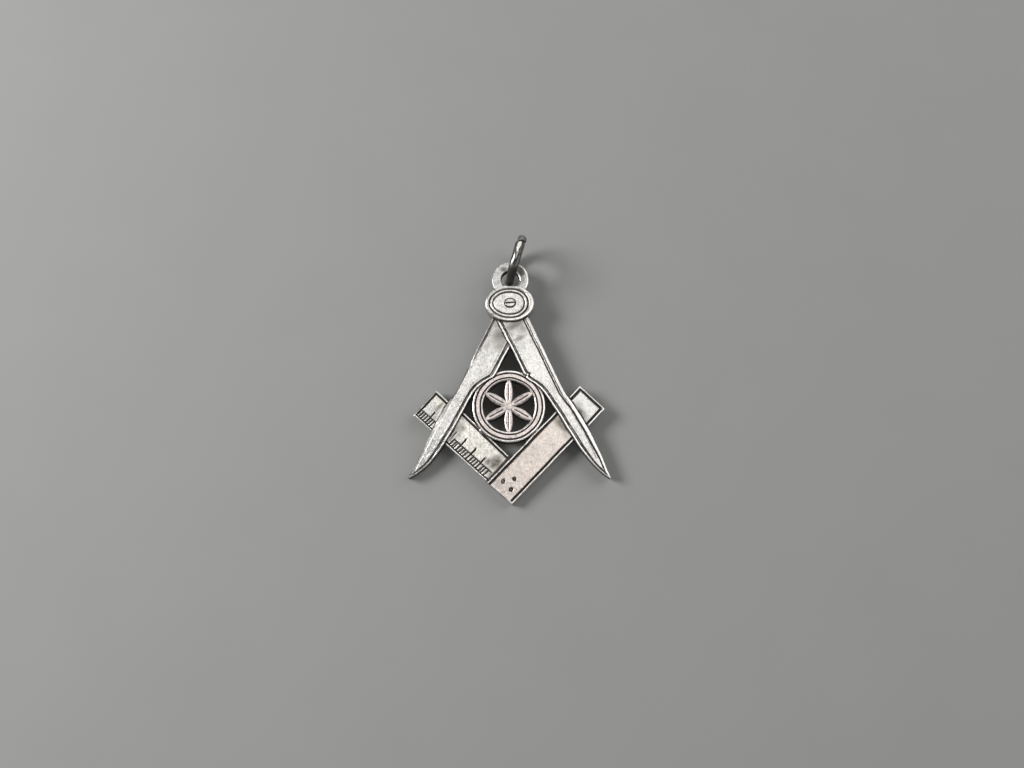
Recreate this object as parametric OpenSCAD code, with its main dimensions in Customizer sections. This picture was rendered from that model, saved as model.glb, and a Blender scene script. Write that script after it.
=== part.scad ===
// Square-and-compasses pendant: a soldered silver emblem lying on a flat
// surface, with a loose jump ring standing in its eye. Millimetres, +Z up,
// origin on the surface under the middle of the whole.

/* [Compasses] */
// Length of each leg from the head's centre to its point
leg_len = 21.8; // [21:0.1:22.6]
// Angle of the left leg from the vertical
left_angle = 29.6; // [28.5:0.1:30.5]
// Angle of the right leg from the vertical
right_angle = 29.1; // [28:0.1:30]
// Thickness of the left leg
left_t = 1.45; // [1.3:0.05:1.55]
// Thickness of the right leg, which laps over the left one
right_t = 1.6; // [1.5:0.05:1.65]

/* [Square] */
// Angle of the left arm above the horizontal
arm_l_angle = 42; // [41:0.5:43]
// Angle of the right arm above the horizontal
arm_r_angle = 46; // [45:0.5:47]
// Length of each arm along its outer edge
arm_len = 14.2; // [13.8:0.1:14.6]
// Width of the left arm
arm_l_w = 3.65; // [3.5:0.05:3.7]
// Width of the right arm
arm_r_w = 3.5; // [3.4:0.05:3.7]
// Thickness of the left arm
arm_l_t = 1.1; // [1:0.05:1.2]
// Thickness of the right arm, which laps over the left one
arm_r_t = 1.18; // [1.1:0.02:1.25]

/* [Centre ornament] */
// Outer radius of the pierced rosette
ros_r = 3.9; // [3.85:0.05:4]
// Width of its outer band
ros_band = 1.1; // [0.9:0.05:1.2]
// Thickness of the rosette
ros_t = 1.3; // [1.2:0.05:1.4]

/* [Head and eye] */
// Half width of the oval head
head_a = 2.64; // [2.5:0.02:2.7]
// Half height of the oval head
head_b = 2.02; // [1.9:0.02:2.04]
// Thickness at the head
head_t = 1.85; // [1.75:0.05:2]
// Outer radius of the eye
eye_r = 2.05; // [1.9:0.05:2.1]
// Radius of the hole in the eye
eye_hole_r = 1.03; // [1:0.01:1.1]
// Thickness of the eye
eye_t = 0.85; // [0.75:0.05:0.9]

/* [Jump ring] */
// Radius of the ring to the middle of its wire
ring_r = 2.4; // [2.4:0.05:2.5]
// Diameter of the ring's wire
wire_d = 1; // [0.9:0.05:1]
// Width of the open joint between the wire's ends
ring_gap = 0.1; // [0.04:0.01:0.12]

/* [Engraving] */
// Distance of the border line from an edge
border_in = 0.3; // [0.26:0.02:0.36]
// Width of the border line
border_w = 0.2; // [0.15:0.01:0.24]
// Depth of the engraved lines
cut_d = 0.12; // [0.08:0.01:0.15]

/* [Hidden] */

// The emblem leans back on the ring's wire under its eye, and onto one point.
tilt = 2.7;
roll = -0.69;
lift = 0.629;
// Shift of everything, so that the origin is under the middle.
mid = [0.322, -1.438, 0];

// Where the legs cross under the head, and the square's outer corner
pivot = [-0.23, 8.5];
corner = [0, -13.3];
eye_at = [-0.17, 11.52];
ros_at = [-0.32, -2.85];

// Sections along a leg: distance from the pivot, then the outer and the
// inner edge's distance from the leg's centre line, left leg and right leg
//  [  s,   outL,  inL,  outR,  inR]
LEG = [
  [ 0.0,  1.02,  2.20,  1.20,  2.05],
  [ 2.0,  0.88,  2.28,  1.05,  2.16],
  [ 4.0,  0.74,  2.36,  0.90,  2.27],
  [ 6.0,  0.58,  2.47,  0.76,  2.37],
  [ 7.8,  0.45,  2.53,  0.62,  2.46],
  [ 8.1,  0.42,  2.42,  0.60,  2.46],
  [ 8.5,  0.39,  2.17,  0.57,  2.32],
  [ 9.0,  0.34,  1.90,  0.53,  2.04],
  [ 9.5,  0.28,  1.71,  0.49,  1.83],
  [10.0,  0.23,  1.58,  0.45,  1.68],
  [11.0,  0.17,  1.47,  0.38,  1.54],
  [11.6,  0.19,  1.48,  0.36,  1.49],
  [12.2,  0.30,  1.51,  0.41,  1.45],
  [13.0,  0.38,  1.55,  0.48,  1.41],
  [14.0,  0.38,  1.58,  0.55,  1.38],
  [15.0,  0.36,  1.59,  0.58,  1.34],
  [16.0,  0.32,  1.58,  0.57,  1.29],
  [17.0,  0.24,  1.55,  0.53,  1.24],
  [18.0,  0.13,  1.47,  0.47,  1.15],
  [19.0,  0.04,  1.32,  0.39,  1.00],
  [20.0, -0.03,  1.05,  0.27,  0.76],
  [21.0, -0.08,  0.64,  0.12,  0.42],
];

// A leg's outline, drawn in by d from both edges, its head end at s0
function leg_pts(o, i, d, s0) = concat(
  [for (r = LEG) if (r[o] + r[i] > 2*d + 0.1) [r[o] - d, -max(r[0], s0)]],
  [[0, -leg_len + 2.6*d]],
  [for (k = [len(LEG) - 1 : -1 : 0]) let (r = LEG[k])
    if (r[o] + r[i] > 2*d + 0.1) [d - r[i], -max(r[0], s0)]]);

module leg(o, i, t) {
  difference() {
    linear_extrude(t) polygon(leg_pts(o, i, 0, 0));
    translate([0, 0, t - cut_d]) linear_extrude(1) difference() {
      polygon(leg_pts(o, i, border_in, 0.5));
      polygon(leg_pts(o, i, border_in + border_w, 0.8));
    }
  }
}

module left_leg()
  translate([pivot[0], pivot[1], 0]) rotate([0, 0, -left_angle])
    mirror([1, 0, 0]) leg(1, 2, left_t);

module right_leg()
  translate([pivot[0], pivot[1], 0]) rotate([0, 0, right_angle])
    leg(3, 4, right_t);

// An arm of the square: a bar from the corner along +X, its outer edge on Y=0
module arm_bar(w, t) cube([arm_len, w, t]);

// An engraved line along X
module line_x(x0, x1, y, t, w = border_w)
  translate([x0, y - w/2, t - cut_d]) cube([x1 - x0, w, 1]);

// An engraved line along Y
module line_y(x, y0, y1, t, w = border_w)
  translate([x - w/2, y0, t - cut_d]) cube([w, y1 - y0, 1]);

module arm_left() {
  translate([corner[0], corner[1], 0]) rotate([0, 0, 180 - arm_l_angle])
    mirror([0, 1, 0]) difference() {
      arm_bar(arm_l_w, arm_l_t);
      line_x(3.4, arm_len - 0.2, 0.27, arm_l_t, 0.13);
      line_x(3.6, arm_len - 0.2, arm_l_w - 0.3, arm_l_t);
      line_y(arm_len - 0.27, 0.27, arm_l_w - 0.3, arm_l_t);
      // The rule: its base line, short marks, and a long mark to every four
      line_x(3.8, arm_len - 0.3, 1.05, arm_l_t, 0.1);
      for (k = [0 : 26]) line_y(4.34 + 0.35*k, 0.27, 1.05, arm_l_t, 0.15);
      for (k = [0 : 5]) line_y(5.39 + 1.4*k, 1.05, 1.88, arm_l_t, 0.16);
    }
}

module arm_right() {
  translate([corner[0], corner[1], 0]) rotate([0, 0, arm_r_angle])
    difference() {
      arm_bar(arm_r_w, arm_r_t);
      line_x(0.15, arm_len - 0.3, 0.31, arm_r_t);
      line_x(-1, arm_len - 0.3, arm_r_w - 0.33, arm_r_t, 0.26);
      line_y(arm_len - 0.36, 0.31, arm_r_w - 0.33, arm_r_t, 0.26);
      // Three punched dots near the corner
      for (p = [[1.15, 2.35], [2.13, 1.68], [1.1, 1.15]])
        translate([p[0], p[1], arm_r_t - cut_d])
          cylinder(r = 0.22, h = 1, $fn = 24);
    }
}

// A pierced rosette of six compass-drawn petals in a round band
module rosette() {
  ri = ros_r - ros_band;
  pr = ri + 0.15;
  translate([ros_at[0], ros_at[1], 0]) difference() {
    union() {
      difference() {
        cylinder(r = ros_r, h = ros_t, $fn = 96);
        translate([0, 0, -1]) cylinder(r = ri, h = ros_t + 2, $fn = 96);
      }
      for (a = [0 : 60 : 300]) rotate([0, 0, a + 30]) intersection() {
        rotate([0, 0, 60]) translate([pr, 0, 0])
          cylinder(r = pr + 0.06, h = ros_t - 0.12, $fn = 96);
        rotate([0, 0, -60]) translate([pr, 0, 0])
          cylinder(r = pr + 0.06, h = ros_t - 0.12, $fn = 96);
        cylinder(r = pr, h = ros_t, $fn = 96);
      }
      cylinder(r = 0.5, h = ros_t - 0.02, $fn = 48);
    }
    for (r = [ros_r - border_in, ri + border_in + border_w])
      translate([0, 0, ros_t - cut_d]) difference() {
        cylinder(r = r, h = 1, $fn = 96);
        translate([0, 0, -1]) cylinder(r = r - border_w, h = 3, $fn = 96);
      }
  }
}

// An oval of half width a and half height b
function oval(a, b) = [for (k = [0 : 71]) [a*cos(5*k), b*sin(5*k)]];

module oval_line(a, b, w) linear_extrude(1) difference() {
  polygon(oval(a, b));
  polygon(oval(a - w, b - w));
}

module head()
  translate([pivot[0], pivot[1], 0]) difference() {
    linear_extrude(head_t) polygon(oval(head_a, head_b));
    translate([0, 0, head_t - cut_d]) {
      oval_line(head_a - 0.36, head_b - 0.36, border_w);
      oval_line(head_a - 0.82, head_b - 0.78, border_w);
      // The screw's rim and slot
      oval_line(0.66, 0.54, 0.12);
      translate([-0.5, -0.06, 0]) cube([1, 0.12, 1]);
    }
  }

// The eye's own plate, its back a little above the emblem's flat back
module eye_plate()
  translate([eye_at[0], eye_at[1], 0.1])
    cylinder(r = eye_r, h = eye_t, $fn = 96);

module emblem() {
  color([0.78, 0.77, 0.75]) translate(mid) translate([0, 0, lift])
    rotate([tilt, 0, 0]) rotate([0, roll, 0])
      difference() {
        union() {
          left_leg();
          right_leg();
          arm_left();
          arm_right();
          rosette();
          head();
          eye_plate();
        }
        translate([eye_at[0], eye_at[1], -1])
          cylinder(r = eye_hole_r, h = 4, $fn = 64);
      }
}

// The ring stands on its edge, turned and leaning a little
ring_at = [0.38, 13.4];
ring_turn = -15;
ring_lean = 6.5;
ring_joint = 52;

module jump_ring() {
  zc = (ring_r*cos(ring_lean) + wire_d/2);
  color([0.5, 0.49, 0.48]) translate(mid)
    translate([ring_at[0], ring_at[1], zc])
      rotate([0, 0, ring_turn]) rotate([0, ring_lean, 0]) rotate([0, 90, 0])
        rotate([0, 0, 90]) difference() {
          rotate_extrude($fn = 96) translate([ring_r, 0]) circle(d = wire_d, $fn = 32);
          rotate([0, 0, ring_joint]) translate([0, -ring_gap/2, -1])
            cube([4, ring_gap, 2]);
        }
}

emblem();
jump_ring();
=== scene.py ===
"""Looks of a small silver square-and-compasses pendant that lies on a surface.

The emblem is modelled in its own flat frame in millimetres (X right, Y from
the square's corner towards the eye, Z up from its flat back), as closed lofts
whose rims, grooves and marks are real geometry. They are joined into one
solid, as soldered metal is, and laid where the frame's emblem lies.
"""
import math

import bmesh
import bpy
import numpy as np
from mathutils import Matrix, Vector
from mathutils.kdtree import KDTree


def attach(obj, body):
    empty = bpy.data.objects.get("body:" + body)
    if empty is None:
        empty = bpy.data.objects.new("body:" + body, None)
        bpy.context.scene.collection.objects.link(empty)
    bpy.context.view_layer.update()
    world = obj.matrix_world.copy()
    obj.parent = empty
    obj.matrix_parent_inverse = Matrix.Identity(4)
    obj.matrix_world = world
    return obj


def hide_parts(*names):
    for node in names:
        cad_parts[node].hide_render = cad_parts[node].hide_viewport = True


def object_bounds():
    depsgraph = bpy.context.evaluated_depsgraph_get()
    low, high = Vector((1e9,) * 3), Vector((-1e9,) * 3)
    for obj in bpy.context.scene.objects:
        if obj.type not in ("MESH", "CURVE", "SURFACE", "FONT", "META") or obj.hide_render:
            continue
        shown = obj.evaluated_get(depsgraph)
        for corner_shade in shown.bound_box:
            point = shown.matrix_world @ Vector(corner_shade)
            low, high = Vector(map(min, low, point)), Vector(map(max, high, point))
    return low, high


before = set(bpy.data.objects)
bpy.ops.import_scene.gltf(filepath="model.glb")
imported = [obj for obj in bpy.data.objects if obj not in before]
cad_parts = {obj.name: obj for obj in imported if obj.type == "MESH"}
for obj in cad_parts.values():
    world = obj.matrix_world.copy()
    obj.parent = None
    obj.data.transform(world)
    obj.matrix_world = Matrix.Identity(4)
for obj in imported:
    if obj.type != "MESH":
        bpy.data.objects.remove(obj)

CAD_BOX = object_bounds()
MM = 0.001

# The pose of the flat emblem on the surface, as in the construction
TILT, ROLL, LIFT = math.radians(2.7), math.radians(-0.69), 0.629
MID = np.array([0.322, -1.438, 0.0])
PIVOT = (-0.23, 8.5)
CORNER = (0.0, -13.3)
EYE_AT = (-0.17, 11.52)
ROS_AT = (-0.32, -2.85)


# ---------------------------------------------------------------- small tools
class Waves:
    """Smooth seeded noise of about unit size: a sum of plane waves."""

    def __init__(self, seed, length, count=26):
        r = np.random.RandomState(seed)
        a = r.uniform(0, 2 * math.pi, count)
        k = 2 * math.pi / (length * r.uniform(0.7, 1.5, count))
        self.kx, self.ky = k * np.cos(a), k * np.sin(a)
        self.ph = r.uniform(0, 2 * math.pi, count)
        self.n = math.sqrt(count / 2)

    def __call__(self, x, y):
        x, y = np.asarray(x, float), np.asarray(y, float)
        out = np.zeros(np.broadcast(x, y).shape)
        for kx, ky, ph in zip(self.kx, self.ky, self.ph):
            out += np.sin(kx * x + ky * y + ph)
        return out / self.n


def smooth(a, b, x):
    """0 at a, 1 at b, with soft ends; a may be the larger."""
    t = np.clip((np.asarray(x, float) - a) / (b - a), 0, 1)
    return t * t * (3 - 2 * t)


def groove(d, g0, g1, depth):
    """Depth of a cut with sloping sides between g0 and g1."""
    u = np.abs(2 * (np.asarray(d, float) - g0) / (g1 - g0) - 1)
    return np.where(u < 1, depth * (1 - np.clip(u, 0, 1) ** 2.4), 0.0)


def cut_dark(d, g0, g1, floor=0.6, side=0.95):
    """Oxide in such a cut: most on its sides, less on its floor."""
    u = np.abs(2 * (np.asarray(d, float) - g0) / (g1 - g0) - 1)
    return np.where(u < 1, floor + (side - floor) * smooth(0.45, 0.85, u), 0.0) * smooth(1.0, 0.93, u)


def edge_round(d, r):
    """Drop of a worn, rounded edge at distance d inside it."""
    d = np.clip(np.asarray(d, float), 0, r)
    return r - np.sqrt(np.maximum(r * r - (r - d) ** 2, 0))


def curve(xs, ys, x):
    """A smooth curve through a table, without overshoot."""
    xs, ys = np.asarray(xs, float), np.asarray(ys, float)
    h = np.diff(xs)
    s = np.diff(ys) / h
    m = np.zeros(len(xs))
    m[1:-1] = np.where(s[:-1] * s[1:] > 0, 2 * s[:-1] * s[1:] / (s[:-1] + s[1:] + 1e-12), 0)
    m[0], m[-1] = s[0], s[-1]
    k = np.clip(np.searchsorted(xs, x) - 1, 0, len(h) - 1)
    t = (np.asarray(x, float) - xs[k]) / h[k]
    return ((2 * t**3 - 3 * t**2 + 1) * ys[k] + (t**3 - 2 * t**2 + t) * h[k] * m[k]
            + (-2 * t**3 + 3 * t**2) * ys[k + 1] + (t**3 - t**2) * h[k] * m[k + 1])


def stations(points, step):
    """The given stations, with evenly spaced ones between those further apart than step."""
    points = sorted(set(np.round(points, 4)))
    out = [points[0]]
    for a, b in zip(points, points[1:]):
        n = max(1, int(math.ceil((b - a) / step)))
        out += [a + (b - a) * k / n for k in range(1, n + 1)]
    return np.array(out)


# ------------------------------------------------------ closed lofted elements
# Each element is a grid of points X, Y, Z (rows by columns). A row is one whole
# section from the back up one side, over the face and down the other side.
PIECES = []          # name, verts, faces
SOURCE = []          # x, y, z, oxide and painted shade, part for the transfer of surface data


def add_loft(name, X, Y, Z, soot_and_shade, part, ring=False):
    n, m = X.shape
    v = np.stack([X, Y, Z], -1).reshape(-1, 3)
    f = []
    rows = range(n) if ring else range(n - 1)
    for i in rows:
        j = (i + 1) % n
        for k in range(m):
            l = (k + 1) % m
            f.append((i * m + k, j * m + k, j * m + l, i * m + l))
    if not ring:
        f.append(tuple(range(m)))
        f.append(tuple((n - 1) * m + k for k in reversed(range(m))))
    PIECES.append((name, v, f))
    SOURCE.append(np.c_[v, np.asarray(soot_and_shade, float).reshape(-1), np.full(len(v), float(part))])


def add_disc(name, X, Y, Z, soot_and_shade, part):
    """Rows run round, columns from the centre of the face out and down to the back."""
    n, m = X.shape
    v = np.stack([X, Y, Z], -1).reshape(-1, 3)
    f = []
    for i in range(n):
        j = (i + 1) % n
        for k in range(m - 1):
            f.append((i * m + k, j * m + k, j * m + k + 1, i * m + k + 1))
    f.append(tuple(i * m for i in reversed(range(n))))
    f.append(tuple(i * m + m - 1 for i in range(n)))
    PIECES.append((name, v, f))
    SOURCE.append(np.c_[v, np.asarray(soot_and_shade, float).reshape(-1), np.full(len(v), float(part))])


def close_end(S, T, Z, So, start, dark):
    """Rows down an end's own wall, so that it is finished as the sides are."""
    i, sign = (0, -1) if start else (-1, 1)
    add = [(S[i] + sign * 0.001 * (k + 1), T[i], Z[i] * share, np.full(S.shape[1], dark))
           for k, share in enumerate((0.96, 0.7, 0.36, 0.05))]
    if start:
        return [np.concatenate([np.array([a[c] for a in add[::-1]]), M]) for c, M in enumerate((S, T, Z, So))]
    return [np.concatenate([M, np.array([a[c] for a in add])]) for c, M in enumerate((S, T, Z, So))]


P_LEG, P_ARM_L, P_ARM_R, P_ROS, P_HEAD, P_EYE = range(6)
OUTSIDE, OPENING_OXIDE_AND_SHADE = 0.5, 0.8           # oxide on the walls round the emblem; the walls in its openings are darker still, partly painted shade
WALL = [(0.05, 0.0), (0.0, 0.05), (0.0, 0.36), (0.0, 0.72)]   # inset, share of height

# Slow unevenness of the faces, as cast and hand-finished metal has
swell = Waves(11, 2.2)
dimple = Waves(12, 0.75)
grain = Waves(13, 0.34)


def uneven(x, y):
    return 0.006 * swell(x, y) + 0.003 * dimple(x, y) + 0.002 * grain(x, y)


# Compasses --------------------------------------------------------------------
# distance from the pivot, then the outer and inner edge's distance from the
# leg's centre line, left leg and right leg
LEG = np.array([
    #  s,   outL,  inL,  outR,  inR
    [0.0,  1.02, 2.20, 1.20, 2.05],
    [2.0,  0.88, 2.28, 1.05, 2.16],
    [4.0,  0.74, 2.36, 0.90, 2.27],
    [6.0,  0.58, 2.47, 0.76, 2.37],
    [7.8,  0.45, 2.53, 0.62, 2.46],
    [8.1,  0.42, 2.42, 0.60, 2.46],
    [8.5,  0.39, 2.17, 0.57, 2.32],
    [9.0,  0.34, 1.90, 0.53, 2.04],
    [9.5,  0.28, 1.71, 0.49, 1.83],
    [10.0, 0.23, 1.58, 0.45, 1.68],
    [11.0, 0.17, 1.47, 0.38, 1.54],
    [11.6, 0.19, 1.48, 0.36, 1.49],
    [12.2, 0.30, 1.51, 0.41, 1.45],
    [13.0, 0.38, 1.55, 0.48, 1.41],
    [14.0, 0.38, 1.58, 0.55, 1.38],
    [15.0, 0.36, 1.59, 0.58, 1.34],
    [16.0, 0.32, 1.58, 0.57, 1.29],
    [17.0, 0.24, 1.55, 0.53, 1.24],
    [18.0, 0.13, 1.47, 0.47, 1.15],
    [19.0, 0.04, 1.32, 0.39, 1.00],
    [20.0, -0.03, 1.05, 0.27, 0.76],
    [21.0, -0.08, 0.64, 0.12, 0.42],
    [21.55, -0.02, 0.27, 0.08, 0.18],
    [21.8, 0.0, 0.08, 0.03, 0.06],
])
# the line where the left leg's face ends and its outer side slopes away
FACE_LINE = np.array([[7.0, 0.40], [8.0, 0.22], [8.5, 0.15], [9.5, 0.10], [10.5, 0.06], [12.0, 0.0], [13.0, -0.06],
                      [15.0, -0.13], [17.0, -0.20], [18.5, -0.28], [20.0, -0.36], [20.8, -0.40], [21.8, -0.2]])


def leg(name, left):
    co, ci = (1, 2) if left else (3, 4)
    rows = stations([0.35, 7.6, 8.8, 20.5, 21.5, 21.8], 0.1)
    out = curve(LEG[:, 0], LEG[:, co], rows)
    inn = curve(LEG[:, 0], LEG[:, ci], rows)
    line = out - curve(FACE_LINE[:, 0], FACE_LINE[:, 1], rows)
    slim = 1 - 0.32 * smooth(17.0, 20.3, rows)
    if not left:
        inn = inn - 0.24 * np.exp(-((rows - 7.86) / 0.11) ** 2)     # a nick beside the solder
    w = (out + inn) / 2
    if left:
        top = 1.45 - 0.2 * smooth(15, 21.8, rows)
    else:
        top = 1.6 - 0.15 * smooth(5, 10, rows) - 0.2 * smooth(15, 21.8, rows)
    ds = [0, 0.015, 0.04, 0.08, 0.115, 0.145, 0.175, 0.20, 0.235, 0.27, 0.30, 0.33, 0.355, 0.38, 0.41, 0.435, 0.46, 0.49, 0.52, 0.55, 0.58, 0.61, 0.64, 0.67, 0.71]
    K = len(ds)
    inner_n = 11

    def drop(d, side, s):
        """How far the top lies under the leg's plain face, and how dark it is."""
        u = d / slim
        if side == "in":
            z = edge_round(d, 0.055) + groove(u, 0.18, 0.47, 0.13)
            dark = cut_dark(u, 0.18, 0.47, 0.58, 0.92)
            wear_and_highlight = 0.95 * smooth(0.19, 0.15, u)
        elif left:
            # a rim and a line at the upper shank, a plain sloping side below
            low = smooth(6.9, 8.7, s)
            slope = 0.27 * np.clip(1 - d / np.maximum(line, 0.05), 0, 1)
            z = (1 - low) * (edge_round(d, 0.08) + groove(d, 0.13, 0.40, 0.08)) + low * (slope + edge_round(d, 0.03))
            fade = (1 - 0.22 * smooth(4.5, 7.0, s)) * (1 - low)
            # painted shade: the plain sloping side is painted grey, and its outer foot near black
            dark = np.maximum(cut_dark(d, 0.13, 0.40, 0.62, 0.86) * fade,
                              low * (1 - 0.6 * smooth(20.3, 21.3, s)) * np.where(d < 0.03, 0.9, 0.50 * (d < line - 0.03)))
            wear_and_highlight = 0.55 * smooth(0.14, 0.09, d) * (1 - low) * (1 - 0.5 * smooth(4.5, 7.0, s))
        else:
            # two lines at the shank, one deeper line towards the point
            low = smooth(11.0, 14.0, s)
            a, b = 0.50 - 0.12 * low, 0.68 - 0.08 * low
            z = edge_round(d, 0.08) + groove(u, 0.31, 0.45, 0.055) * (1 - low) + groove(u, a, b, 0.07 + 0.06 * low)
            dark = np.maximum(cut_dark(u, 0.31, 0.45, 0.62, 0.62) * (1 - low), cut_dark(u, a, b, 0.70 + 0.12 * low, 0.92))
            wear_and_highlight = (0.36 + 0.45 * low) * smooth(0.30 + 0.08 * low, 0.2, u)
        return z + 0.02 * smooth(0.62, 0.70, d), np.where(dark > 0.03, dark, -wear_and_highlight)

    cols_t, cols_z, cols_s = [], [], []
    for side, sign, edge in (("out", 1, out), ("in", -1, inn)):
        t, z, so = [], [], []
        for ins, share in WALL:
            t.append(sign * (edge - ins))
            z.append(share * (top - 0.1))
            so.append(np.full(len(rows), OUTSIDE if side == "out" else OPENING_OXIDE_AND_SHADE))
        for k, d in enumerate(ds):
            de = np.minimum(d, w * (1 - 0.009 * (K - k)))
            dz, dark = drop(de, side, rows)
            t.append(sign * (edge - de))
            z.append(top - dz)
            so.append(dark * np.ones(len(rows)))
        cols_t.append(t), cols_z.append(z), cols_s.append(so)
    ta, tb = cols_t[0][-1], cols_t[1][-1]
    za, zb = cols_z[0][-1], cols_z[1][-1]
    sa, sb = cols_s[0][-1], cols_s[1][-1]
    mid_t = [ta + (tb - ta) * (k + 1) / (inner_n + 1) for k in range(inner_n)]
    mid_z = [za + (zb - za) * (k + 1) / (inner_n + 1) for k in range(inner_n)]
    mid_s = [sa + (sb - sa) * (k + 1) / (inner_n + 1) for k in range(inner_n)]
    t = np.array(cols_t[0] + mid_t + cols_t[1][::-1]).T
    z = np.array(cols_z[0] + mid_z + cols_z[1][::-1]).T
    so = np.array(cols_s[0] + mid_s + cols_s[1][::-1]).T
    s = np.repeat(rows[:, None], t.shape[1], 1)
    s, t, z, so = close_end(s, t, z, so, False, OUTSIDE)
    ang = math.radians(270 - 29.6) if left else math.radians(270 + 29.1)
    flip = -1 if left else 1
    X = PIVOT[0] + s * math.cos(ang) - flip * t * math.sin(ang)
    Y = PIVOT[1] + s * math.sin(ang) + flip * t * math.cos(ang)
    face = z > 0.8
    Z = z + np.where(face, uneven(X + (7 if left else 31), Y), 0)
    add_loft(name, X, Y, Z, so, P_LEG)


leg("leg_left", True)
leg("leg_right", False)


# Square -----------------------------------------------------------------------
def arm(name, left):
    h = 1.1 if left else 1.18
    L = 14.2
    rnd = np.random.RandomState(5)
    if left:
        width = 3.65
        s0 = 3.27
        marks = []
        # places of the short marks along the arm, and how deep each is still cut
        for c, deep in ((4.25, 0.8), (4.65, 1), (4.95, 1), (5.43, 1), (5.76, 0.7), (6.1, 0.9), (6.42, 1), (6.83, 0.95),
                        (7.2, 0.75), (7.54, 0.8), (7.86, 1), (8.25, 1), (8.6, 0.7), (8.82, 0.75), (9.15, 0.85),
                        (9.5, 0.25), (9.85, 0.12), (12.05, 0.5), (12.35, 0.75), (12.67, 1),
                        (13.03, 1), (13.35, 1), (13.66, 1)):
            marks.append((c, 0.12 + 0.06 * deep, 0.28, 1.06, 0.12 * deep, 0.0))
        longs = [(5.4, 1.9, 1), (6.79, 1.92, 1), (8.2, 1.93, 1), (9.5, 1.85, 0.3), (12.65, 1.84, 0.7)]
        for c, t1, deep in longs:
            marks.append((c, 0.10 + 0.09 * deep, 0.95, t1, 0.13 * deep, 0.0))
        sp = [s0, 3.45, 3.53, 3.6, 3.68, L - 0.5, L]
        for c, w, *_ in marks:
            sp += [c - w / 2 - 0.02, c - w / 4, c, c + w / 4, c + w / 2 + 0.02]
        tp = [0.98, 1.0, 1.02, 1.05, 1.1, 1.13, 1.2, 1.8, 1.9, 1.96]
    else:
        width = 3.5
        s0 = 0.0
        marks = []
        sp = [s0, L - 0.5, L] + list(np.arange(0.8, 2.5, 0.045))
        tp = list(np.arange(0.85, 2.7, 0.045))
    end = [0, 0.02, 0.05, 0.09, 0.14, 0.19, 0.23, 0.27, 0.31, 0.35, 0.39, 0.43, 0.47, 0.53]
    rows = [x for x in stations(sp + [L - d for d in end] + ([] if left else end), 0.12)]
    rows = np.array([rows[0]] + [b for a, b in zip(rows, rows[1:]) if b - a > 0.008])
    side = [0, 0.015, 0.04, 0.08, 0.12, 0.16, 0.20, 0.23, 0.26, 0.29, 0.33, 0.37, 0.41, 0.45, 0.5, 0.56]
    tt = stations(side + [width - d for d in side] + tp, 0.125)
    tt = np.array([tt[0]] + [b for a, b in zip(tt, tt[1:]) if b - a > 0.008])
    S, T = np.meshgrid(rows, tt, indexing="ij")
    e0, e1 = T, width - T                     # from the outer and the inner edge
    eend = L - S
    g = np.zeros(S.shape)
    if left:
        top_in = smooth(0.1, 0.3, eend)
        g = np.maximum(g, groove(e0, 0.18, 0.34, 0.12) * (S > 3.5) * (eend > 0.11))
        g = np.maximum(g, groove(e1, 0.15, 0.42, 0.13) * smooth(3.5, 3.8, S) * (eend > 0.11))
        g = np.maximum(g, groove(eend, 0.10, 0.36, 0.13) * (e0 > 0.2) * (e1 > 0.22))
        g = np.maximum(g, groove(T, 0.98, 1.12, 0.09) * smooth(3.7, 3.9, S) * (eend > 0.3) * (1 - 0.9 * smooth(9.1, 9.4, S) * (S < 11)))
        # the line where the other arm laps over this one
        g = np.maximum(g, groove(S, 3.42, 3.66, 0.10))
        for c, w, t0, t1, dep, lean in marks:
            mask = smooth(t0 - 0.02, t0 + 0.03, T) * (1 - smooth(t1 - 0.06, t1, T))
            g = np.maximum(g, groove(S - c - lean * (T - 0.6), -w / 2 - 0.02, w / 2 + 0.02, dep) * mask)
        start = edge_round(np.clip(S - s0, 0, 9), 0.02)
        rims = 1 - smooth(0.13, 0.18, np.minimum(np.minimum(e0, e1), eend))
    else:
        g = np.maximum(g, groove(e0, 0.18, 0.43, 0.13) * smooth(0.12, 0.3, S) * (eend > 0.18))
        g = np.maximum(g, groove(e1, 0.16, 0.47, 0.14) * (eend > 0.18))
        g = np.maximum(g, groove(eend, 0.16, 0.43, 0.14) * (e0 > 0.2) * (e1 > 0.2))
        for cs, ct, a, b, ang in ((1.15, 2.33, 0.27, 0.20, 0.7), (2.13, 1.68, 0.21, 0.24, 0.2), (1.1, 1.15, 0.26, 0.23, 0.1)):
            ds_, dt_ = S - cs, T - ct
            ca, sa = math.cos(ang), math.sin(ang)
            r = np.sqrt(((ds_ * ca + dt_ * sa) / a) ** 2 + ((-ds_ * sa + dt_ * ca) / b) ** 2)
            # a punched ring mark: a deeper rim round a shallower middle
            pit = 0.13 * (1 - smooth(0.76, 1.1, r)) * (0.34 + 0.66 * smooth(0.12, 0.56, r))
            if cs == 1.15 and ct > 2:
                pit = 1.15 * pit * (1 - 0.85 * np.exp(-((ds_ * 0.78 - dt_ * 0.62 + 0.02) / 0.042) ** 2))
            g = np.maximum(g, pit)
        start = edge_round(np.clip(S, 0, 9), 0.08)
        rims = 1 - smooth(0.13, 0.18, np.minimum(np.minimum(np.minimum(e0, e1), eend), S))
        dots = (np.abs(S - 1.6) < 0.9) & (np.abs(T - 1.75) < 0.95)
    edge = np.maximum(np.maximum(edge_round(e0, 0.085), edge_round(e1, 0.085)),
                      np.maximum(edge_round(eend, 0.085), start))
    z = h - edge - g
    z -= 0.015 * smooth(0.4, 0.55, np.minimum(np.minimum(e0, e1), eend))
    soot_and_shade = smooth(0.005, 0.05, g)
    if not left:
        soot_and_shade = np.where(dots, smooth(0.012, 0.085, g), soot_and_shade)
    soot_and_shade = soot_and_shade - 0.85 * rims * (g < 0.005)
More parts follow.
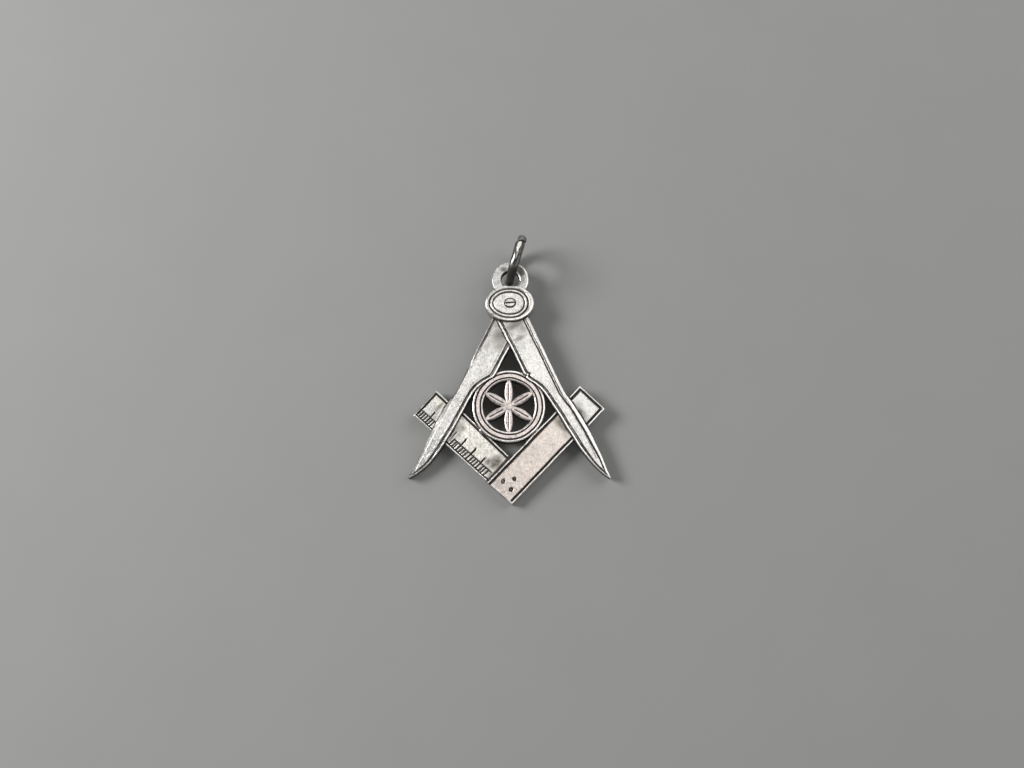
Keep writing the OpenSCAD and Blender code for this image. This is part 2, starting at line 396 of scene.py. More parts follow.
    # walls: extra columns at both sides
    wt, wz = [], []
    for ins, share in WALL:
        wt.append((ins, share * (h - 0.1)))
    n = len(rows)
    lo_t = np.array([[a for a, b in wt]] * n)
    lo_z = np.array([[b for a, b in wt]] * n)
    hi_t = width - lo_t[:, ::-1]
    hi_z = lo_z[:, ::-1]
    T2 = np.concatenate([lo_t, T, hi_t], 1)
    Z2 = np.concatenate([lo_z, z, hi_z], 1)
    So = np.concatenate([lo_t * 0 + OUTSIDE, soot_and_shade, hi_t * 0 + OPENING_OXIDE_AND_SHADE], 1)
    S2 = np.repeat(rows[:, None], T2.shape[1], 1)
    S2, T2, Z2, So = close_end(S2, T2, Z2, So, False, OUTSIDE)
    if not left:
        S2, T2, Z2, So = close_end(S2, T2, Z2, So, True, OUTSIDE)
    if left:
        # the inner edge opens a little towards the crossing leg
        T2 = T2 + smooth(1.9, 2.6, T2) * (0.2 * smooth(3, 10.5, S2) - 0.05 - 0.18 * smooth(11, 12.4, S2))
        # the marks lean
        S2 = S2 + np.interp(T2, [0.0, 0.25, 1.02, 1.2], [0.0, 0.04, -0.04, 0.0]) * smooth(3.9, 4.1, S2) * (1 - smooth(13.7, 13.8, S2))
    else:
        # the end at the corner is cut along the other arm's outer edge
        S2 = S2 - (1 - smooth(0, 3, S2)) * (T2 * math.tan(math.radians(2)) - 0.02)
        # and its outer end is a little wider
        T2 = T2 + smooth(10.5, 11.6, S2) * (0.18 * T2 / 3.5 - 0.12)
    ang = math.radians(180 - 42) if left else math.radians(46)
    flip = -1 if left else 1
    X = CORNER[0] + S2 * math.cos(ang) - flip * T2 * math.sin(ang)
    Y = CORNER[1] + S2 * math.sin(ang) + flip * T2 * math.cos(ang)
    Z = Z2 + np.where(Z2 > 0.7, uneven(X + (53 if left else 71), Y + 5), 0)
    add_loft(name, X, Y, Z, So, P_ARM_L if left else P_ARM_R)


arm("arm_left", True)
arm("arm_right", False)


# Centre ornament ----------------------------------------------------------------
def band(name, centre, r_in, r_out, h, part, round_out, round_in, grooves, z0=0.0, n=220, seed=0, rims=(0.85, 0.17, 0.6, 0.14)):
    """A flat ring with worn edges and engraved circles; grooves are distances from the outer edge,
    rims how worn and how wide the outer and the inner edge are."""
    w = r_out - r_in
    pts = [0, 0.015, 0.045, 0.09, 0.14] + [w - x for x in (0, 0.015, 0.045, 0.09, 0.14)]
    for g0, g1, dep in grooves:
        pts += list(np.linspace(g0, g1, 6))
    d = stations([p for p in pts if 0 <= p <= w], 0.12)
    d = np.array([d[0]] + [b for a, b in zip(d, d[1:]) if b - a > 0.008])
    g = sum((groove(d, *x) for x in grooves), np.zeros(len(d)))
    z = h - g - edge_round(d, round_out) - edge_round(w - d, round_in)
    soot_and_shade = smooth(0.005, 0.05, g) - (rims[0] * (d < rims[1]) + rims[2] * (w - d < rims[3])) * (g < 0.005)
    cols = [(ins, z0 + share * (h - 0.1 - z0)) for ins, share in WALL]
    dd = np.concatenate([[c[0] for c in cols], d, [w - c[0] for c in cols[::-1]]])
    zz = np.concatenate([[c[1] for c in cols], z, [c[1] for c in cols[::-1]]])
    # walls in openings hold oxide and painted shade; the eye's hole wall (0.95) is painted near black as painted shade
    ss = np.concatenate([[OPENING_OXIDE_AND_SHADE if grooves else OUTSIDE] * 4, soot_and_shade, [OPENING_OXIDE_AND_SHADE if grooves else 0.95] * 4])
    th = np.arange(n) * 2 * math.pi / n
    R = r_out - dd[None, :] + np.zeros((n, 1))
    X = centre[0] + R * np.cos(th)[:, None]
    Y = centre[1] + R * np.sin(th)[:, None]
    Z = np.repeat(zz[None, :], n, 0)
    Z = Z + np.where(Z > z0 + 0.6 * (h - z0), uneven(X + seed, Y + seed), 0)
    So = np.repeat(ss[None, :], n, 0)
    # on the eye the worn rims are brightest towards the right: wear, and there partly a painted highlight
    if not grooves:
        So = np.where(So < 0, So * (0.6 + 0.4 * np.cos(th + 0.4))[:, None], So)
    add_loft(name, X, Y, Z, So, part, ring=True)


ROS_R, ROS_BAND, ROS_H = 3.9, 1.1, 1.3
band("rosette_band", ROS_AT, ROS_R - ROS_BAND, ROS_R, ROS_H, P_ROS, 0.10, 0.09,
     [(0.22, 0.42, 0.13), (0.74, 0.92, 0.12)], seed=90)


def petal(name, angle):
    pr = ROS_R - ROS_BAND + 0.22
    rr = pr + 0.07                      # radius of the two compass arcs
    rows = stations([0.1, 0.4, pr - 0.3, pr], 0.08)
    half = np.sqrt(np.maximum(rr**2 - (rows - pr / 2) ** 2, 0)) - pr * math.sqrt(3) / 2
    half = np.maximum(half, 0.05)
    fr = np.array([0, 0.05, 0.14, 0.26, 0.42, 0.60, 0.78, 0.88, 0.94, 1.0])
    fr = np.concatenate([fr, 2 - fr[-2::-1]])
    T = half[:, None] * (1 - fr[None, :])
    d = half[:, None] - np.abs(T)
    S = np.repeat(rows[:, None], len(fr), 1)
    vein = 0.075 * np.clip(1 - np.abs(T) / 0.085, 0, 1) * smooth(0.55, 0.8, S) * (1 - smooth(pr - 0.75, pr - 0.45, S))
    z = ROS_H - 0.1 - edge_round(d, 0.12) - 0.05 * (np.abs(T) / 0.4) ** 2 - vein
    soot_and_shade = smooth(0.02, 0.06, vein)
    m = len(fr)
    lo = [(ins, share * (ROS_H - 0.25)) for ins, share in WALL]
    tl = np.concatenate([[half - i for i, _ in lo]], 0).T
    T2 = np.concatenate([tl, T, -tl[:, ::-1]], 1)
    zl = np.repeat(np.array([[s for _, s in lo]]), len(rows), 0)
    Z2 = np.concatenate([zl, z, zl[:, ::-1]], 1)
    So = np.concatenate([zl * 0 + OPENING_OXIDE_AND_SHADE, soot_and_shade, zl * 0 + OPENING_OXIDE_AND_SHADE], 1)
    S2 = np.repeat(rows[:, None], T2.shape[1], 1)
    ca, sa = math.cos(angle), math.sin(angle)
    X = ROS_AT[0] + S2 * ca - T2 * sa
    Y = ROS_AT[1] + S2 * sa + T2 * ca
    Z2 = Z2 + np.where(Z2 > 0.85, 0.7 * uneven(X + 40, Y), 0)
    add_loft(name, X, Y, Z2, So, P_ROS)


for k in range(6):
    petal("petal_%d" % k, math.radians(90 + 60 * k))


def disc(name, centre, a, b, stations_d, top, soot_and_shade, part, n=160, z0=0.0, wall=OUTSIDE, seed=0, wav=1.0, shade_by_angle=None, aside=None):
    """An oval disc: stations are distances inside its edge, top the heights there."""
    d = np.concatenate([[0.05, 0, 0, 0], stations_d])
    z = np.concatenate([[z0, z0 + 0.05, z0 + 0.36 * (top[0] - z0), z0 + 0.75 * (top[0] - z0)], top])
    so = np.concatenate([[wall] * 4, soot_and_shade])
    d, z, so = d[::-1], z[::-1], so[::-1]
    th = np.arange(n) * 2 * math.pi / n
    A = np.maximum(a - d, 0.0)[None, :]
    B = np.maximum(b - d * (b / a) ** 0.25, 0.0)[None, :]
    A = np.maximum(A, 0.012 * (1 + np.arange(len(d)))[None, :] * 0.5)
    B = np.maximum(B, 0.010 * (1 + np.arange(len(d)))[None, :] * 0.5)
    X = centre[0] + A * np.cos(th)[:, None]
    Y = centre[1] + B * np.sin(th)[:, None]
    Z = np.repeat(z[None, :], n, 0)
    Z = Z + np.where(Z > z0 + 0.7 * (top[-1] - z0), wav * uneven(X + seed, Y - seed), 0)
    So = np.repeat(so[None, :], n, 0)
    if shade_by_angle:
        So = So * shade_by_angle(th[:, None], d[None, :])
    if aside:
        X = X + aside(th[:, None], d[None, :])
    add_disc(name, X, Y, Z, So, part)


# boss in the rosette's middle
d = np.array([0, 0.01, 0.04, 0.09, 0.15, 0.22, 0.30, 0.38, 0.45, 0.50])
disc("boss", ROS_AT, 0.55, 0.55, d, ROS_H - 0.2 + 0.14 * np.sqrt(np.clip(1 - (1 - d / 0.55) ** 2, 0, 1)), d * 0, P_ROS, n=64, seed=3)

# Head: a rim, two oval lines and a flat middle ------------------------------------
HEAD_A, HEAD_B, HEAD_H = 2.66, 2.03, 1.85
d = stations([0, 0.015, 0.045, 0.09, 0.15, 0.24, 0.31, 0.35, 0.40, 0.45, 0.50, 0.55, 0.60, 0.72, 0.76, 0.80, 0.84, 0.89, 0.94, 0.98, 1.05, 2.6], 0.1)
g = groove(d, 0.33, 0.54, 0.14) + groove(d, 0.74, 0.92, 0.11)
top = HEAD_H - edge_round(d, 0.11) - g - 0.02 * smooth(0.3, 0.5, d) - 0.015 * smooth(1.0, 1.1, d)
dark = np.maximum(cut_dark(d, 0.33, 0.54, 0.72, 0.95), cut_dark(d, 0.74, 0.92, 0.68, 0.84))
# painted shade: the outer line's oxide is heavier towards the lower right, away from the light
disc("head", PIVOT, HEAD_A, HEAD_B, d, top, np.where(dark > 0.03, dark, -0.6 * (d < 0.19)), P_HEAD, n=200, seed=17,
     shade_by_angle=lambda th, d: np.where((d > 0.28) & (d < 0.6), 0.78 + 0.22 * np.cos(th + 1.1), 1.0),
     # both lines stand further in at the right
     aside=lambda th, d: -0.21 * np.clip(np.cos(th), 0, 1) ** 2 * smooth(0.10, 0.33, d) * (1 - smooth(0.95, 1.75, d)))

# Screw: a low domed head in a round line, with a slot
SCREW = (PIVOT[0] + 0.045, PIVOT[1] + 0.04)
d = np.array([0, 0.01, 0.03, 0.06, 0.10, 0.16, 0.24, 0.32, 0.40, 0.47, 0.52])
disc("screw", SCREW, 0.56, 0.47, d, 1.81 + 0.07 * np.sqrt(np.clip(1 - (1 - d / 0.56) ** 2, 0, 1)), d * 0, P_HEAD, n=80, z0=1.2, seed=23, wav=0.3)

# Eye
band("eye", EYE_AT, 1.02, 2.06, 0.95, P_EYE, 0.10, 0.12, [], z0=0.1, n=150, seed=37, rims=(0.8, 0.17, 0.6, 0.15))


# Cuts made after the elements are joined: the line round the screw and its slot
def ring_cut(centre, a, b, half_w, z_top, depth, n=72):
    sec = [(-half_w, 0.2), (-half_w * 0.9, 0.0), (-half_w * 0.35, -depth), (half_w * 0.35, -depth), (half_w * 0.9, 0.0), (half_w, 0.2)]
    v, f = [], []
    for i in range(n):
        t = 2 * math.pi * i / n
        wide = 1.0 + 0.24 * math.cos(t + 0.95)      # cut deeper at the lower right
        for o, z in sec:
            o, z = o * wide, (z * wide if z < 0 else z)
            v.append((centre[0] + (a + o) * math.cos(t), centre[1] + (b + o) * math.sin(t), z_top + z))
    m = len(sec)
    for i in range(n):
        for k in range(m):
            a0, a1 = i * m + k, ((i + 1) % n) * m + k
            b0, b1 = i * m + (k + 1) % m, ((i + 1) % n) * m + (k + 1) % m
            f.append((a0, a1, b1, b0))
    return np.array(v), f


def bar_cut(p, q, half_w, z_top, depth):
    p, q = np.array(p, float), np.array(q, float)
    u = (q - p) / np.linalg.norm(q - p)
    nrm = np.array([-u[1], u[0]])
    v = []
    for e in (p, q):
        for o, z in ((-half_w, 0.3), (-half_w * 0.9, 0.0), (-half_w * 0.5, -depth), (half_w * 0.5, -depth), (half_w * 0.9, 0.0), (half_w, 0.3)):
            v.append((*(e + nrm * o), z_top + z))
    f = [tuple(range(6)), tuple(range(11, 5, -1))]
    for k in range(6):
        f.append((k, 6 + k, 6 + (k + 1) % 6, (k + 1) % 6))
    return np.array(v), f


# Solder: small uneven beads where the ornament meets legs and arms
def bead(x, y, z, rx, ry, rz, turn, seed):
    bm = bmesh.new()
    bmesh.ops.create_icosphere(bm, subdivisions=3, radius=1)
    v = np.array([p.co for p in bm.verts])
    f = [tuple(q.index for q in face.verts) for face in bm.faces]
    bm.free()
    wv = Waves(seed, 1.3, 10)
    v = v * (1 + 0.10 * wv(v[:, 0] + v[:, 2], v[:, 1]))[:, None]
    v = v * np.array([rx, ry, rz])
    c, s = math.cos(turn), math.sin(turn)
    v = np.c_[v[:, 0] * c - v[:, 1] * s + x, v[:, 0] * s + v[:, 1] * c + y, v[:, 2] + z]
    PIECES.append(("bead%d" % seed, v, f))
    SOURCE.append(np.c_[v, np.full(len(v), 0.1), np.full(len(v), float(P_ROS))])


def on_band(deg, r=ROS_R):
    a = math.radians(deg)
    return ROS_AT[0] + r * math.cos(a), ROS_AT[1] + r * math.sin(a), a + math.pi / 2


for i, (deg, rz, zc) in enumerate(((-136, 0.30, 0.88), (-42, 0.30, 0.92), (118, 0.34, 1.02), (57, 0.34, 1.02))):
    x, y, t = on_band(deg, ROS_R + 0.02)
    bead(x, y, zc, 0.62, 0.24, rz, t, 200 + i)


# ------------------------------------------------------------------ joining them
def mesh_object(name, verts, faces):
    me = bpy.data.meshes.new(name)
    bm = bmesh.new()
    vs = [bm.verts.new(p) for p in verts]
    for face in faces:
        bm.faces.new([vs[i] for i in face])
    bmesh.ops.triangulate(bm, faces=bm.faces[:], quad_method="SHORT_EDGE", ngon_method="EAR_CLIP")
    bmesh.ops.recalc_face_normals(bm, faces=bm.faces[:])
    bm.to_mesh(me)
    bm.free()
    ob = bpy.data.objects.new(name, me)
    bpy.context.scene.collection.objects.link(ob)
    return ob


wob_a, wob_b = Waves(31, 2.6), Waves(32, 2.6)
wob_c, wob_d = Waves(33, 0.8), Waves(34, 0.8)


def wobble(v):
    """Hand-made edges and lines aren't quite true."""
    x, y = v[:, 0].copy(), v[:, 1].copy()
    k = 1 - 0.9 * smooth(9.6, 10.6, np.abs(x)) * 1.0
    k = k * (1 - 0.9 * smooth(12.4, 13.1, -y))
    out = v.copy()
    out[:, 0] += k * (0.010 * wob_a(x, y) + 0.004 * wob_c(x, y))
    out[:, 1] += k * (0.010 * wob_b(x, y) + 0.004 * wob_d(x, y))
    return out


def boolean(base, other, operation):
    md = base.modifiers.new("cut", "BOOLEAN")
    md.operation = operation
    md.object = other
    md.solver = "MANIFOLD"
    dg = bpy.context.evaluated_depsgraph_get()
    me = bpy.data.meshes.new_from_object(base.evaluated_get(dg))
    base.modifiers.remove(md)
    old = base.data
    base.data = me
    bpy.data.meshes.remove(old)
    bpy.data.objects.remove(other)


base = None
for name, v, f in PIECES:
    ob = mesh_object(name, wobble(v), f)
    if base is None:
        base = ob
    else:
        boolean(base, ob, "UNION")
for cutter in (ring_cut(SCREW, 0.60, 0.51, 0.085, 1.85, 0.13), bar_cut((SCREW[0] - 0.55, SCREW[1] - 0.04), (SCREW[0] + 0.55, SCREW[1] + 0.03), 0.10, 1.88, 0.13)):
    v, f = cutter
    boolean(base, mesh_object("cutter", wobble(v), f), "DIFFERENCE")
emblem = base
emblem.name = "emblem_silver"
me = emblem.data
me.name = "emblem_silver"
for a in [a.name for a in me.attributes if a.name in ("soot_and_shade", "part")]:
    me.attributes.remove(me.attributes[a])

# surface data: how much oxide and painted shade a place holds, and which element it belongs to
src = np.concatenate(SOURCE)
src[:, :3] = wobble(src[:, :3])
tree = KDTree(len(src))
for i, p in enumerate(src[:, :3]):
    tree.insert(p, i)
tree.balance()
n = len(me.vertices)
co = np.zeros(n * 3)
me.vertices.foreach_get("co", co)
co = co.reshape(-1, 3)
soot_and_shade = np.zeros(n)
part = np.zeros(n)
for i, p in enumerate(co):
    _, k, dist = tree.find(p)
    soot_and_shade[i] = src[k, 3]
    part[i] = src[k, 4]
    if dist > 0.004:
        soot_and_shade[i] = max(soot_and_shade[i], 0.75)
# the screw's line and slot
dx, dy = co[:, 0] - SCREW[0], co[:, 1] - SCREW[1]
rr = np.sqrt((dx / 0.60) ** 2 + (dy / 0.51) ** 2)
cutz = (co[:, 2] < 1.80) & (rr < 1.25) & (co[:, 2] > 1.5)
fill = 0.84 + 0.12 * np.cos(np.arctan2(dy, dx) + 0.95) * (rr > 0.8)
soot_and_shade[cutz] = np.maximum(np.minimum(soot_and_shade, 0.6), fill)[cutz]
# painted shade: darker where a lower face meets something higher, as ambient occlusion would make it
nrm = np.zeros(n * 3)
me.vertex_normals.foreach_get("vector", nrm)
nrm = nrm.reshape(-1, 3)
cell = 0.05
ix = ((co[:, 0] - co[:, 0].min()) / cell).astype(int) + 6
iy = ((co[:, 1] - co[:, 1].min()) / cell).astype(int) + 6
high = np.full((ix.max() + 8, iy.max() + 8), -1.0)
np.maximum.at(high, (ix, iy), co[:, 2])
corner_shade = np.zeros(n)
for ox in range(-10, 11):
    for oy in range(-10, 11):
        far = math.hypot(ox, oy) * cell
        if 0 < far <= 0.5:
            step = high[np.clip(ix + ox, 0, high.shape[0] - 1), np.clip(iy + oy, 0, high.shape[1] - 1)] - co[:, 2]
            reach = 0.25 + 0.22 * np.clip(step - 0.3, 0, 0.9)
            corner_shade = np.maximum(corner_shade, np.where(step > 0.11, 0.95 * np.clip(1.15 - far / reach, 0, 1), 0))
corner_shade = np.where(nrm[:, 2] > 0.4, corner_shade, 0)
soot_and_shade = np.where(corner_shade > 0.05, np.maximum(soot_and_shade, corner_shade), soot_and_shade)
back = (co[:, 2] < 0.03) | ((part == P_EYE) & (co[:, 2] < 0.13))
soot_and_shade[back] = 0.2

# tints and stains, by place
# each part's tint is its own tone, and its brightness is partly painted light: set to make up for how much light the
# part gets
TINT = {P_LEG: (1.03, 1.006, 0.97), P_ARM_L: (1.15, 1.11, 1.02), P_ARM_R: (0.915, 0.805, 0.732),
        P_ROS: (0.97, 0.86, 0.81), P_HEAD: (1.06, 1.035, 0.97), P_EYE: (0.90, 0.893, 0.868)}
tint = np.array([TINT[int(round(p))] for p in part])
stain = np.zeros(n)


def along(which):
    """Origin, direction along and direction across of a leg or arm."""
    at, deg, flip = {"legl": (PIVOT, 240.4, -1), "legr": (PIVOT, 299.1, 1),
                     "arml": (CORNER, 138.0, -1), "armr": (CORNER, 46.0, 1), "eye": (EYE_AT, 0.0, 1),
                     "head": (PIVOT, 0.0, 1)}[which]
    a = math.radians(deg)
    return np.array(at), np.array([math.cos(a), math.sin(a)]), np.array([-flip * math.sin(a), flip * math.cos(a)])


# where, distance along and across, half length and half width, strength
for which, s0, t0, rs, rt, k in (
        ("legl", 3.6, -0.9, 1.1, 0.9, 0.75), ("legl", 4.7, -1.3, 0.6, 0.5, 0.55), ("legl", 5.3, -0.2, 0.6, 0.4, 0.35),
        ("legl", 2.6, 0.0, 0.7, 0.6, 0.5), ("legl", 4.9, 0.55, 2.6, 0.3, 0.4),
        ("legr", 2.4, -0.6, 0.5, 1.3, 0.75), ("legr", 3.95, -1.0, 0.25, 0.6, 0.7),
        ("legr", 3.1, -0.1, 0.6, 0.35, 0.5), ("legr", 10.5, -0.5, 0.8, 0.3, 0.2),
        ("arml", 4.25, 2.15, 0.62, 0.9, 1.0), ("arml", 4.85, 1.7, 0.4, 0.45, 0.85), ("arml", 3.8, 0.7, 0.3, 0.45, 0.6),
        ("arml", 9.65, 1.9, 0.45, 1.2, 0.5), ("arml", 9.3, 2.55, 0.32, 0.25, 0.75), ("arml", 9.2, 1.7, 0.22, 0.5, 0.5),
        ("arml", 12.75, 2.45, 0.24, 0.75, 0.8), ("arml", 12.35, 1.3, 0.3, 0.5, 0.45),
        ("armr", 9.85, 1.9, 0.5, 1.4, 0.9), ("armr", 9.2, 0.9, 0.35, 0.5, 0.35), ("armr", 12.05, 1.75, 0.45, 1.2, 0.95),
        ("armr", 12.6, 2.2, 0.3, 0.5, 0.4), ("armr", 0.6, 2.6, 0.5, 0.4, 0.2),
        # the first eye entry darkens the eye's upper right, beside the ring
        ("eye", 1.14, 1.02, 0.52, 0.72, 1.75), ("eye", 1.4, 0.05, 0.2, 0.45, 0.65), ("eye", -0.72, 1.2, 0.45, 0.3, 0.9),
        ("eye", -1.35, -0.35, 0.2, 0.3, 0.35), ("head", 2.04, -0.15, 0.15, 0.95, 0.65), ("head", -1.75, -1.2, 0.5, 0.13, 0.5)):
    at, ds_, dt_ = along(which)
    rel = co[:, :2] - at
    u, w = (rel @ ds_ - s0) / rs, (rel @ dt_ - t0) / rt
    own = {"legl": P_LEG, "legr": P_LEG, "arml": P_ARM_L, "armr": P_ARM_R, "eye": P_EYE, "head": P_HEAD}[which]
    stain = np.maximum(stain, k * np.exp(-(u**2 + w**2) ** 1.4) * (part == own))
# small cloudy spots where the polish is thinnest
spots = np.random.default_rng(5)
for own, centre, reach, count in ((P_EYE, EYE_AT, 2.0, 34), (P_ARM_L, (-5.4, -8.0), 7.0, 150), (P_HEAD, PIVOT, 2.4, 16)):
    for _ in range(count):
        q = np.array(centre) + reach * spots.uniform(-1, 1, 2)
        r, k = spots.uniform(0.11, 0.30), spots.uniform(0.12, 0.36)
        stain = np.maximum(stain, k * np.exp(-(((co[:, :2] - q) ** 2).sum(1) / r**2) ** 1.3) * (part == own))


def write_float(mesh, name, values):
    at = mesh.attributes.new(name, "FLOAT", "POINT")
    at.data.foreach_set("value", np.asarray(values, np.float32))


stain = np.where(back, 0.3, stain)
# the eye's upper right, beside the ring, is darkened almost to black
u, w = (co[:, 0] - EYE_AT[0] - 1.16) / 0.36, (co[:, 1] - EYE_AT[1] - 0.98) / 0.62
dark_patch = 0.62 * np.exp(-(u**2 + w**2) ** 1.6) * (part == P_EYE) * (soot_and_shade > -0.05)
soot_and_shade = np.where(dark_patch > 0.02, np.maximum(soot_and_shade, dark_patch), soot_and_shade)
# the right arm's outer end is whiter than the rest of it
white = smooth(5.3, 6.6, co[:, 0]) * (part == P_ARM_R)
tint = tint * (1 - white[:, None]) + np.array([0.95, 0.935, 0.905]) * white[:, None]
white = smooth(8.0, 9.0, -co[:, 0]) * (part == P_ARM_L)
tint = tint * (1 - white[:, None]) + np.array([1.16, 1.145, 1.11]) * white[:, None]
# the legs are greyer towards the head
tint = tint * (1 - 0.17 * smooth(1.5, 6.5, co[:, 1]) * (part == P_LEG))[:, None]
write_float(me, "soot_and_shade", np.maximum(soot_and_shade, 0))
write_float(me, "wear_and_highlight", np.clip(-soot_and_shade, 0, 1))
write_float(me, "stain", stain)
at = me.attributes.new("tint", "FLOAT_COLOR", "POINT")
at.data.foreach_set("color", np.c_[tint, np.ones(n)].astype(np.float32).ravel())

# lay it down
cr, sr, ct, st = math.cos(ROLL), math.sin(ROLL), math.cos(TILT), math.sin(TILT)


def lay(v):
    x, y, z = v[:, 0], v[:, 1], v[:, 2]
    x1, z1 = x * cr + z * sr, -x * sr + z * cr
    y2, z2 = y * ct - z1 * st, y * st + z1 * ct
    return np.c_[x1, y2, z2 + LIFT] + MID


def in_box(v):
    """Metres, kept inside the construction's box."""
    lo, hi = np.array(CAD_BOX[0]), np.array(CAD_BOX[1])
    return np.clip(v, lo, hi)


me.vertices.foreach_set("co", in_box(lay(co) * MM).ravel())
me.polygons.foreach_set("use_smooth", np.ones(len(me.polygons), bool))
me.set_sharp_from_angle(angle=math.radians(62))
me.update()

# ---------------------------------------------------------------------- jump ring
RING_R, WIRE = 2.4, 0.496
RING_C = np.array([0.38, 13.4, 2.4 * math.cos(math.radians(6.5)) + 0.5])
ax = Vector((1, 0, 0))
ax.rotate(Matrix.Rotation(math.radians(6.5), 3, "Y"))
ax.rotate(Matrix.Rotation(math.radians(-15), 3, "Z"))
ex = Vector((0, 1, 0))
ex.rotate(Matrix.Rotation(math.radians(-15), 3, "Z"))
ez = ax.cross(ex)
ax, ex, ez = np.array(ax), np.array(ex), np.array(ez)
JOINT, GAP = math.radians(52), 0.2 / 2.4

nseg, nsec = 210, 40
ring_noise = Waves(61, 1.1, 16)
ring_fine = Waves(62, 0.35, 16)
v, dark = [], []
for i in range(nseg + 1):
    u = i / nseg
    phi = JOINT + GAP / 2 + u * (2 * math.pi - GAP)
    off = 0.13 * (u - 0.5)
    edge_in = 0.07 * max(0, 1 - min(u, 1 - u) * nseg / 1.6)
    for k in range(nsec):
        q = 2 * math.pi * k / nsec
        s_along = phi * RING_R
        r = WIRE - edge_in + 0.005 * ring_noise(s_along, q * WIRE) + 0.0015 * ring_fine(s_along, q * WIRE)
        # flats that pliers left beside the joint
        for pc, pq, dep in ((0.035, 0.3, 0.006), (0.965, math.pi, 0.006), (0.10, 5.2, 0.005), (0.2, 0.9, 0.004)):
            dq = math.atan2(math.sin(q - pq), math.cos(q - pq))
            r -= dep * math.exp(-((u - pc) / 0.018) ** 2 - (dq / 0.55) ** 2)
        # the wire was cut aslant
        slant = r * (1.1 * math.cos(q) - 0.46 * math.sin(q)) * (math.exp(-u * nseg / 9) + math.exp(-(1 - u) * nseg / 9))
        f = phi + slant / (RING_R + r * math.cos(q))
        rad = ex * math.cos(f) + ez * math.sin(f)
        p = RING_C + rad * (RING_R + r * math.cos(q)) + ax * (off + r * math.sin(q))
        v.append(p)
        # dull beyond the joint; darker towards the eye as painted shade
        dark.append((1 - min(1, (1 - u) / 0.07)) ** 0.5 if u > 0.93 else 0.0)
faces = []
for i in range(nseg):
    for k in range(nsec):
        a, b = i * nsec + k, i * nsec + (k + 1) % nsec
        faces.append((a, b, b + nsec, a + nsec))
faces.append(tuple(reversed(range(nsec))))
faces.append(tuple(nseg * nsec + k for k in range(nsec)))
v = (np.array(v) + MID) * MM
ring = mesh_object("jump_ring_wire", in_box(v), faces)
ring.data.polygons.foreach_set("use_smooth", np.ones(len(ring.data.polygons), bool))
ring.data.set_sharp_from_angle(angle=math.radians(40))
write_float(ring.data, "dull", dark)
# painted shade: the wire is painted near black where it runs into the eye's hole, which lies in shadow; its cut ends
# are darkened too
at_end = 1 - smooth(1.2, 3.0, np.repeat(np.minimum(np.arange(nseg + 1), nseg - np.arange(nseg + 1)), nsec))
turned = np.repeat(math.degrees(JOINT) + np.arange(nseg + 1) * 360.0 / nseg, nsec)
shade_in_eye = smooth(112, 134, turned) * (1 - smooth(250, 300, turned))
write_float(ring.data, "deep", np.maximum(shade_in_eye, at_end))


# ---------------------------------------------------------------------- materials
def new_material(name):
    m = bpy.data.materials.new(name)
    m.use_nodes = True
    nt = m.node_tree
    for nd in list(nt.nodes):
        nt.nodes.remove(nd)
    out = nt.nodes.new("ShaderNodeOutputMaterial")
    bsdf = nt.nodes.new("ShaderNodeBsdfPrincipled")
    nt.links.new(bsdf.outputs[0], out.inputs[0])
    return m, nt, bsdf


def node(nt, kind, **props):
    nd = nt.nodes.new(kind)
    for k, val in props.items():
        if k == "inputs":
            for key, x in val.items():
                nd.inputs[key].default_value = x
        else:
            setattr(nd, k, val)
    return nd


def noise_tex(nt, coord, mm, detail=3.0, rough=0.55, dims="3D", distort=0.0):
    nd = node(nt, "ShaderNodeTexNoise", noise_dimensions=dims,
              inputs={"Scale": 1.0 / (mm * MM), "Detail": detail, "Roughness": rough, "Distortion": distort})
    nt.links.new(coord, nd.inputs["Vector"])
    return nd.outputs["Fac"]


def hairs(nt, coord, degrees, long_mm, thin_mm, shift):
    """Noise drawn out along one direction of the plan, as polishing marks are."""
    turn = node(nt, "ShaderNodeMapping", inputs={"Rotation": (0, 0, -math.radians(degrees)), "Location": (shift, shift, 0)})
    nt.links.new(coord, turn.inputs["Vector"])
    squeeze = node(nt, "ShaderNodeMapping", inputs={"Scale": (1 / (long_mm * MM), 1 / (thin_mm * MM), 1 / (long_mm * MM))})
    nt.links.new(turn.outputs[0], squeeze.inputs["Vector"])
    nd = node(nt, "ShaderNodeTexNoise", inputs={"Scale": 1.0, "Detail": 2.0, "Roughness": 0.5})
    nt.links.new(squeeze.outputs[0], nd.inputs["Vector"])
    return nd.outputs["Fac"]


def ramp(nt, fac, lo, hi, out_lo=0.0, out_hi=1.0):
    nd = node(nt, "ShaderNodeMapRange", interpolation_type="SMOOTHSTEP",
              inputs={"From Min": lo, "From Max": hi, "To Min": out_lo, "To Max": out_hi})
    nt.links.new(fac, nd.inputs["Value"])
    return nd.outputs["Result"]


def math_node(nt, op, a, b, clamp=False):
    nd = node(nt, "ShaderNodeMath", operation=op, use_clamp=clamp)
    for i, x in enumerate((a, b)):
        if isinstance(x, (int, float)):
            nd.inputs[i].default_value = x
        else:
            nt.links.new(x, nd.inputs[i])
    return nd.outputs[0]


def mix_col(nt, fac, a, b, mode="MIX"):
    nd = node(nt, "ShaderNodeMix", data_type="RGBA", blend_type=mode)
    for sock, x in ((nd.inputs[0], fac), (nd.inputs[6], a), (nd.inputs[7], b)):
        if isinstance(x, (int, float)):
            sock.default_value = x
        elif isinstance(x, tuple):
            sock.default_value = (*x, 1.0)
        else:
            nt.links.new(x, sock)
    return nd.outputs[2]


